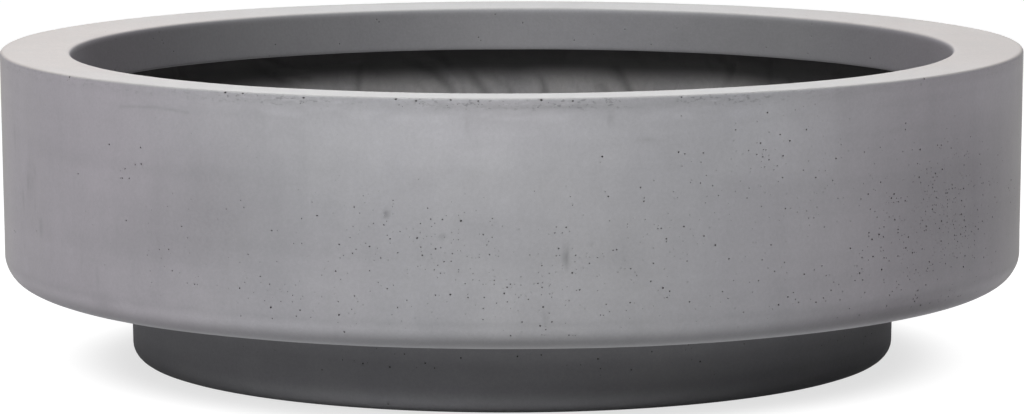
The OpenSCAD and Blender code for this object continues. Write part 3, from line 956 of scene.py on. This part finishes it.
def mat(grid, shown, count, seed):
    """Height and painted crease shade of the hand-laid mat: folds, soft bulges and a coarse grain."""
    height, crease_shade = wrinkles(grid, shown, count, seed)
    for size, seed_step, layers, tall in MAT_BUMPS:
        height = height + grid.noise(size, seed + seed_step, layers, tall)
    return np.clip(height, *MAT_LIMITS), crease_shade


def make_drum_lining(materials):
    grid = Turned(profile_rows(lining_profile(), True), LINING_COLUMNS, True)
    covered = grid.radius > drum_in_r(grid.height) - 0.5 * BACKING_T
    covered |= (grid.height < FLANGE_TOP_Z + 0.5 * BACKING_T) & (grid.radius < FLANGE_R + 1)
    shown = (grid.outward < 0.3) & ~covered
    edge = ramp(LINING_TOP_Z - grid.height, 4, 26)
    height, crease_shade = mat(grid, shown, *LINING_FOLDS)
    grid.sink(SKIN_INSET - shown * (0.3 + 0.7 * edge) * height)
    grid.tone = lining_tone(grid, crease_shade)
    place(grid.build("drum_lining", materials), "bowl", "backing", "drum_backing")


def lining_tone(grid, crease_shade):
    """Lightness of the lining: painted shade behind the lip, most at its sides, painted light lower down,
    and painted shade in the folds.
    """
    below_lip = LIP_Z - grid.height
    off_back = 180 - abs(grid.azimuth)
    painted_side_shade = window(off_back, (26, 54), (125, 95))
    ragged = grid.noise(*LINING_EDGE)
    low = ramp(below_lip + ragged - 12 * painted_side_shade, 21, 51)
    # Painted shade of the lip's overhang, and painted light below it
    shade = 0.18 - 0.08 * ramp(below_lip, 8, 20) + 1.18 * (1 - 0.5 * painted_side_shade) * low
    painted_fold_shade = 0.42 * crease_shade * ramp(below_lip, 16, 26)
    return (1.06 + grid.noise(*LINING_PATCHES) - painted_fold_shade) * shade


def make_floor_lining(materials):
    grid = Turned(profile_rows(floor_profile(), False), FLOOR_COLUMNS, False)
    shown = (grid.outward < 0.3) & (grid.height > PAN_FLOOR_Z + 0.5 * BACKING_T)
    clear = np.ones(grid.tone.shape)
    for turn in DRAIN_TURNS:
        away = np.linalg.norm(grid.points[..., :2] - drain_centre(turn), axis=-1)
        clear = clear * ramp(away, COLLAR_R + 2 * FINE, COLLAR_R + 8 * FINE)
    height, crease_shade = mat(grid, shown, *FLOOR_FOLDS)
    grid.sink(SKIN_INSET - shown * clear * height)
    # Painted shade in the folds' troughs
    grid.tone = 0.98 + grid.noise(*FLOOR_PATCHES) - 0.25 * crease_shade * clear
    recess_r = COLLAR_R + COLLAR_GAP
    seat_z = FLOOR_RING_Z - COLLAR_T
    cut_drains(grid, [(FLOOR_RING_Z, recess_r), (seat_z, recess_r), (seat_z, HOLE_R), (PAN_FLOOR_Z, HOLE_R)])
    place(grid.build("floor_lining", materials), "bowl", "backing", "floor_backing")


def place(piece, body, slot, node):
    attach(piece, body)
    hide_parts(node)


class Tree:
    """Short calls for building the nodes of a material or a world."""

    def __init__(self, owner):
        owner.use_nodes = True
        self.nodes = owner.node_tree.nodes
        self.links = owner.node_tree.links

    def feed(self, socket, value):
        """Sets a number or colour on a socket, or links another node's output to it."""
        if isinstance(value, (int, float)):
            socket.default_value = value
        elif isinstance(value, tuple):
            socket.default_value = (*value, 1) if len(socket.default_value) == 4 else value
        else:
            self.links.new(value, socket)

    def node(self, kind, inputs, **settings):
        """A new node with its settings made and its inputs fed."""
        node = self.nodes.new(kind)
        for name, value in settings.items():
            setattr(node, name, value)
        for name, value in inputs.items():
            self.feed(node.inputs[name], value)
        return node

    def math(self, operation, a, b):
        return self.node("ShaderNodeMath", {0: a, 1: b}, operation=operation).outputs[0]

    def seen_ray(self):
        """1 for what the camera sees, straight, in a gloss or through glass."""
        path = self.nodes.new("ShaderNodeLightPath")
        seen = path.outputs["Is Camera Ray"]
        for kind in ("Is Glossy Ray", "Is Transmission Ray"):
            seen = self.math("MAXIMUM", seen, path.outputs[kind])
        return seen


class Finish(Tree):
    """The nodes of one of the bowl's materials."""

    def __init__(self, name):
        self.material = bpy.data.materials.new(name)
        super().__init__(self.material)
        self.surface = self.nodes["Principled BSDF"]
        self.where = self.nodes.new("ShaderNodeTexCoord").outputs["Object"]

    def noise(self, scale, detail=3.0, roughness=0.5, stretch=None, distortion=0.0):
        where = self.where
        if stretch is not None:
            where = self.node("ShaderNodeMapping", {"Vector": where, "Scale": stretch}).outputs[0]
        inputs = {"Vector": where, "Scale": scale, "Detail": detail, "Roughness": roughness,
                  "Distortion": distortion}
        return self.node("ShaderNodeTexNoise", inputs).outputs["Fac"]

    def pinholes(self, scale, size):
        """1 in the middle of small scattered dots of uneven size, and 0 between them."""
        cells = self.node("ShaderNodeTexVoronoi", {"Vector": self.where, "Scale": scale})
        pick = self.node("ShaderNodeSeparateColor", {0: cells.outputs["Color"]})
        reach = self.math("MULTIPLY", pick.outputs[0], size)
        return self.spread(self.math("SUBTRACT", reach, cells.outputs["Distance"]), 0.0, 1.0, 0.0, 0.05)

    def spread(self, value, low, high, start=0.3, end=0.7):
        """Maps the useful part of a noise, start to end, to the range low to high."""
        inputs = {"Value": value, "From Min": start, "From Max": end, "To Min": low, "To Max": high}
        return self.node("ShaderNodeMapRange", inputs).outputs["Result"]

    def varied(self, light, value, low, high, start=0.3, end=0.7):
        """Light times a noise that is mapped to the range low to high."""
        return self.math("MULTIPLY", light, self.spread(value, low, high, start, end))

    def mix(self, factor, a, b):
        inputs = {"Factor": factor, "A": a, "B": b}
        return self.node("ShaderNodeMix", inputs, data_type="RGBA").outputs["Result"]

    def mark(self, name):
        return self.node("ShaderNodeAttribute", {}, attribute_name=name).outputs["Fac"]

    def facing_up(self):
        geometry = self.nodes.new("ShaderNodeNewGeometry")
        split = self.node("ShaderNodeSeparateXYZ", {0: geometry.outputs["Normal"]})
        return self.spread(split.outputs["Z"], 0.0, 1.0, *TOP_FACING)

    def bump(self, height, strength, distance, normal=None):
        inputs = {"Height": height, "Strength": strength, "Distance": distance}
        if normal is not None:
            inputs["Normal"] = normal
        return self.node("ShaderNodeBump", inputs).outputs[0]

    def finished(self, colour, light, roughness, normal):
        """The material, with its colour scaled by light where that is given."""
        if light is not None:
            scaled = self.node("ShaderNodeVectorMath", {0: colour, "Scale": light}, operation="SCALE")
            colour = scaled.outputs[0]
        for name, value in (("Base Color", colour), ("Roughness", roughness), ("Normal", normal)):
            self.feed(self.surface.inputs[name], value)
        return self.material


# Colours of the cement's clouds and of its rosy and dun sides, and of its top in front and at the sides,
# paler as painted light
CEMENT_COOL = (0.468, 0.467, 0.495)
CEMENT_MILD = (0.488, 0.486, 0.505)
CEMENT_ROSE = (0.466, 0.441, 0.480)
CEMENT_DUN = (0.464, 0.446, 0.438)
CEMENT_TOP_PAINTED_LIGHT = (0.598, 0.592, 0.596)
CEMENT_TOP_PAINTED_LIGHT_WARM = (0.635, 0.585, 0.568)
# Pairs of colours that mix in the other materials; the pits' pair is painted shade
PIT_SHADE_COLOURS = ((0.17, 0.165, 0.165), (0.22, 0.21, 0.21))
BACKING_COLOURS = ((0.43, 0.425, 0.435), (0.50, 0.49, 0.485))
MORTAR_COLOURS = ((0.30, 0.295, 0.28), (0.40, 0.39, 0.37))
SLEEVE_COLOURS = ((0.135, 0.14, 0.145), (0.165, 0.168, 0.17))
RUBBER_COLOURS = ((0.020, 0.020, 0.021), (0.055, 0.053, 0.05))


# Materials: the scale of a noise is in features per metre, and a bump's distance is in metres
def cement_material(name, gloss, dullness):
    """Cast cement. Gloss is its specular level, and dullness how much rougher its sides are than its top."""
    s = Finish(name)
    s.surface.inputs["Specular IOR Level"].default_value = gloss
    cloud = s.noise(7, 4, 0.55)
    blotch = s.noise(34, 4, 0.6)
    fleck = s.noise(320, 2, 0.6)
    grain = s.noise(1300, 2, 0.6)
    tint = s.mark("tint")
    wear = s.mark("wear")
    colour = s.mix(s.spread(cloud, 0, 1), CEMENT_COOL, CEMENT_MILD)
    colour = s.mix(tint, colour, CEMENT_ROSE)
    colour = s.mix(s.spread(tint, 0, 1, 1, 2), colour, CEMENT_DUN)
    # The top is paler than the sides: painted light from above
    colour = s.mix(s.facing_up(), colour, s.mix(tint, CEMENT_TOP_PAINTED_LIGHT, CEMENT_TOP_PAINTED_LIGHT_WARM))
    light = s.mark("tone")
    for uneven in (cloud, blotch, fleck):
        light = s.varied(light, uneven, 0.965, 1.035)
    light = s.varied(light, grain, 0.96, 1.04)
    scuff = s.spread(s.noise(170, 4, 0.62, stretch=(1, 1, 2.4)), 0, 1, 0.56, 0.64)
    bloom = s.spread(s.noise(60, 3, 0.6, stretch=(1, 1, 4)), 0, 1, 0.54, 0.68)
    light = s.varied(light, s.math("MULTIPLY", scuff, wear), 1, 0.66, 0, 1)
    light = s.varied(light, s.math("MULTIPLY", bloom, wear), 1, 1.14, 0, 1)
    # Painted shade of tiny pinholes, in crowded patches
    crowd = s.spread(s.noise(9, 2), 0, 1, 0.46, 0.60)
    light = s.varied(light, s.math("MULTIPLY", s.pinholes(150, 0.10), crowd), 1, 0.62, 0, 1)
    rough = s.math("ADD", s.spread(blotch, 0.46, 0.55), s.spread(grain, -0.03, 0.03))
    rough = s.math("ADD", rough, s.spread(s.facing_up(), dullness, 0, 0, 1))
    normal = s.bump(grain, 0.22, 0.0004)
    normal = s.bump(fleck, 0.16, 0.0008, normal)
    normal = s.bump(blotch, 0.10, 0.004, normal)
    return s.finished(colour, light, rough, normal)


# Painted shade of the pits' hollows
def pit_material():
    s = Finish("pit_painted_shade")
    grain = s.noise(1500, 2, 0.6)
    light = s.varied(s.mark("tone"), grain, 0.8, 1.2)
    return s.finished(s.mix(s.noise(90), *PIT_SHADE_COLOURS), light, 0.9, s.bump(grain, 0.3, 0.0003))


def backing_material():
    s = Finish("hand_laid_backing")
    strand = s.noise(85, 4, 0.6, stretch=(1, 1, 0.7), distortion=1.5)
    fibre = s.noise(520, 3, 0.6, distortion=4)
    grain = s.noise(1200, 2, 0.6)
    colour = s.mix(s.spread(s.noise(16, 4, 0.6), 0, 1), *BACKING_COLOURS)
    light = s.varied(s.mark("tone"), strand, 0.90, 1.08)
    light = s.varied(light, fibre, 0.94, 1.06)
    light = s.varied(light, grain, 0.95, 1.05)
    normal = s.bump(fibre, 0.45, 0.0012, s.bump(strand, 0.5, 0.002))
    return s.finished(colour, light, s.spread(strand, 0.62, 0.8), normal)


def mortar_material():
    s = Finish("bedding_mortar")
    grit = s.noise(700, 4, 0.7)
    lump = s.noise(90)
    colour = s.mix(s.spread(lump, 0, 1), *MORTAR_COLOURS)
    normal = s.bump(lump, 0.4, 0.002, s.bump(grit, 0.6, 0.0008))
    return s.finished(colour, s.spread(grit, 0.8, 1.15), 0.85, normal)


def sleeve_material():
    s = Finish("sleeve_grey")
    haze = s.noise(45, 4, 0.6)
    colour = s.mix(s.spread(haze, 0, 1), *SLEEVE_COLOURS)
    return s.finished(colour, None, s.spread(haze, 0.36, 0.5), s.bump(s.noise(1600, 2), 0.12, 0.0002))


def rubber_material():
    s = Finish("rubber_black")
    dust = s.noise(60, 5, 0.65)
    colour = s.mix(s.spread(dust, 0, 1, 0.45, 0.8), *RUBBER_COLOURS)
    return s.finished(colour, None, s.spread(dust, 0.55, 0.78), s.bump(s.noise(1400, 2), 0.3, 0.0003))


def dress_cad_nodes():
    """New materials for the nodes that stay as the CAD made them."""
    finishes = {"mortar_bed": mortar_material(), "drain_sleeve_": sleeve_material(),
                "drain_plug_": rubber_material(), "foot_pad_": rubber_material()}
    for name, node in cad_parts.items():
        for start, material in finishes.items():
            if name.startswith(start):
                for slot in node.material_slots:
                    slot.material = material


# Camera: place in metres and lens of the photograph, found from the bowl's own rings
CAMERA_BACK = 4.600
CAMERA_UP = 0.7447
CAMERA_DOWN_DEG = 7.420
CAMERA_ROLL_DEG = -0.149
CAMERA_REACH = 100
LENS_MM = 165.46
SENSOR_MM = 36.0


def make_camera():
    data = bpy.data.cameras.new("camera")
    data.sensor_width = SENSOR_MM
    data.lens = LENS_MM
    data.clip_end = CAMERA_REACH
    camera = new_object("camera", data)
    camera.location = (0, -CAMERA_BACK, CAMERA_UP)
    tilt = Euler((math.radians(90 - CAMERA_DOWN_DEG), 0, 0)).to_matrix()
    roll = Euler((0, 0, math.radians(CAMERA_ROLL_DEG))).to_matrix()
    camera.rotation_euler = (tilt @ roll).to_euler()
    bpy.context.scene.camera = camera


# Softboxes: name, place, width, height, power, in metres and watts
SOFTBOXES = [("overhead", (0.0, 0.0, 2.8), 2.2, 2.2, 33.0),
             ("front", (-0.55, -2.1, 1.55), 1.4, 1.1, 9.6),
             ("front_mid", (-0.8, -2.3, 1.25), 1.2, 0.9, 8.0),
             ("left_low", (-1.9, -1.3, 0.55), 1.1, 0.8, 2.5),
             ("back_fill", (0.0, 2.4, 1.6), 1.8, 1.2, 12.5)]
AIM = Vector((0, 0, 0.2))


def make_softboxes():
    for name, at, width, height, power in SOFTBOXES:
        data = bpy.data.lights.new(name, "AREA")
        data.shape = "RECTANGLE"
        data.size = width
        data.size_y = height
        data.energy = power
        lamp = new_object(name, data)
        lamp.location = at
        lamp.rotation_euler = (AIM - Vector(at)).to_track_quat("-Z", "Y").to_euler()
        lamp.visible_camera = False


FLOOR_SIZE = 60
FLOOR_GREY = (0.3, 0.3, 0.3)
# Glow of the floor: how much is added between each pair of distances from the bowl's axis, in metres. The
# camera's glow is lower near the bowl, a painted shadow over the real one, and the cast glow lights the bowl
# as painted bounce light
SEEN_GLOW = [(0.72, 0.0, 0.36), (0.28, 0.37, 0.46)]
CAST_GLOW = [(0.34, 0.45, 0.52), (0.42, 0.64, 0.78), (-0.30, 1.1, 1.3)]
ROOM_LIGHT = 0.0


def glow_strength(tree, distance, steps):
    """Strength of a glow that changes by each step's amount between its two distances."""
    total = 0.0
    for amount, start, end in steps:
        inputs = {"Value": distance, "From Min": start, "From Max": end, "To Max": amount}
        fade = tree.node("ShaderNodeMapRange", inputs, interpolation_type="SMOOTHSTEP")
        total = tree.math("ADD", fade.outputs["Result"], total)
    return total


def make_floor():
    """A plain floor that keeps the bowl's shadow close to it, deepened there by a painted shadow, and is
    white paper beyond; its cast glow is painted bounce light on the bowl.
    """
    bpy.ops.mesh.primitive_plane_add(size=FLOOR_SIZE)
    floor = bpy.context.object
    floor.name = "floor"
    material = bpy.data.materials.new("floor")
    tree = Tree(material)
    tree.nodes.clear()
    matte = tree.node("ShaderNodeBsdfDiffuse", {"Color": FLOOR_GREY})
    geometry = tree.nodes.new("ShaderNodeNewGeometry")
    length = tree.node("ShaderNodeVectorMath", {0: geometry.outputs["Position"]}, operation="LENGTH")
    distance = length.outputs["Value"]
    level = tree.node("ShaderNodeMix", {0: tree.seen_ray(), 2: glow_strength(tree, distance, CAST_GLOW),
                                        3: glow_strength(tree, distance, SEEN_GLOW)})
    glow = tree.node("ShaderNodeEmission", {"Strength": level.outputs[0]})
    both = tree.node("ShaderNodeAddShader", {0: matte.outputs[0], 1: glow.outputs[0]})
    tree.node("ShaderNodeOutputMaterial", {"Surface": both.outputs[0]})
    floor.data.materials.append(material)


def make_world():
    """A dark room that is white to the camera, in reflections and through glass."""
    world = bpy.data.worlds.new("studio")
    bpy.context.scene.world = world
    tree = Tree(world)
    tree.nodes.clear()
    room = tree.node("ShaderNodeBackground", {"Strength": ROOM_LIGHT})
    white = tree.node("ShaderNodeBackground", {"Color": (1, 1, 1)})
    choose = tree.node("ShaderNodeMixShader", {0: tree.seen_ray(), 1: room.outputs[0], 2: white.outputs[0]})
    tree.node("ShaderNodeOutputWorld", {"Surface": choose.outputs[0]})


make_camera()
make_world()
make_floor()
make_softboxes()
cement = cement_material("cast_cement", 0.5, 0.17)
plinth_cement = cement_material("plinth_cement", 0.15, 0.38)
backing = backing_material()
shade = pit_material()
make_drum([cement, shade])
make_plinth([plinth_cement, shade])
make_drum_lining([backing])
make_floor_lining([backing])
dress_cad_nodes()

bpy.context.scene.view_settings.view_transform = "Standard"
